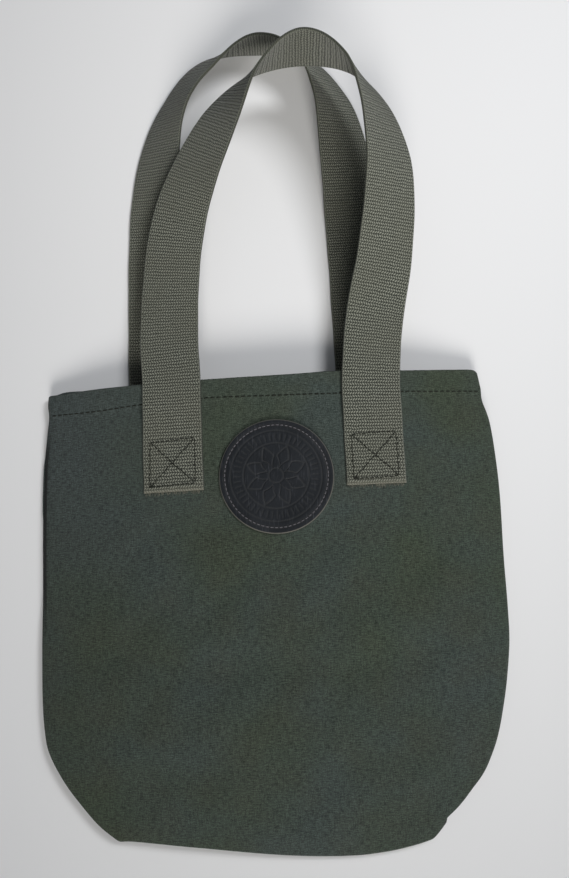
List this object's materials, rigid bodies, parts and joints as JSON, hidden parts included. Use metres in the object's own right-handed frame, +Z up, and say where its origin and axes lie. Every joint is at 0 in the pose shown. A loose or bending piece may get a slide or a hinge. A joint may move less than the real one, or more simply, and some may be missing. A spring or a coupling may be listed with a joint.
{
  "type": "canvas tote bag",
  "caption": "Flat-lying canvas tote bag with a hemmed open mouth, boxed lower corners, two webbing carrying handles and a round stitched leather patch.",
  "frame": {"origin": "under the middle of the whole object's box, on the surface it lies on", "axes": "+Z up, +Y from the bottom fold to the mouth and the handles, +X to the right of someone looking at the front"},
  "size_m": [0.294, 0.5386, 0.0725],
  "materials": {
    "canvas": "matt plain-weave cotton canvas",
    "webbing": "matt heavy cotton webbing",
    "binding_tape": "matt binding tape",
    "dark_thread": "dark green polyester thread",
    "grey_thread": "grey thread",
    "leather": "semi-matt blue-black grained leather"
  },
  "bodies": {
    "bag_back": {"back_panel": "canvas", "back_hem_facing": "canvas", "back_hem_stitching": "dark_thread", "back_left_tab": "webbing", "back_right_tab": "webbing", "back_tab_stitching": "dark_thread", "left_side_seam_binding": "binding_tape", "right_side_seam_binding": "binding_tape", "left_corner_seam_binding": "binding_tape", "right_corner_seam_binding": "binding_tape", "bottom_seam_binding": "binding_tape"},
    "bag_front": {"front_panel": "canvas", "front_hem_facing": "canvas", "front_hem_stitching": "dark_thread", "front_left_tab": "webbing", "front_right_tab": "webbing", "front_tab_stitching": "dark_thread", "leather_patch": "leather", "patch_stitching": "grey_thread"},
    "front_handle": {"front_handle_loop": "webbing"},
    "back_handle": {"back_handle_loop": "webbing"}
  },
  "joints": [
    {"name": "mouth_open", "type": "hinge", "parent": "bag_back", "child": "bag_front", "pos_m": [-0.00155, -0.26995, 0.0011], "axis": [1, 0, 0], "range_deg": [0, 15], "deforming": ["left_side_seam_binding", "right_side_seam_binding", "left_corner_seam_binding", "right_corner_seam_binding", "bottom_seam_binding"]},
    {"name": "front_handle_swing", "type": "hinge", "parent": "bag_front", "child": "front_handle", "pos_m": [-0.00155, -0.02055, 0.0228], "axis": [1, 0, 0], "range_deg": [0, 165]},
    {"name": "back_handle_swing", "type": "hinge", "parent": "bag_back", "child": "back_handle", "pos_m": [-0.00155, 0.02486, 0.0026], "axis": [1, 0, 0], "range_deg": [0, 83]}
  ],
  "couplings": [
    {"joint": "back_handle_swing", "follows": "front_handle_swing", "ratio": 0.5}
  ]
}
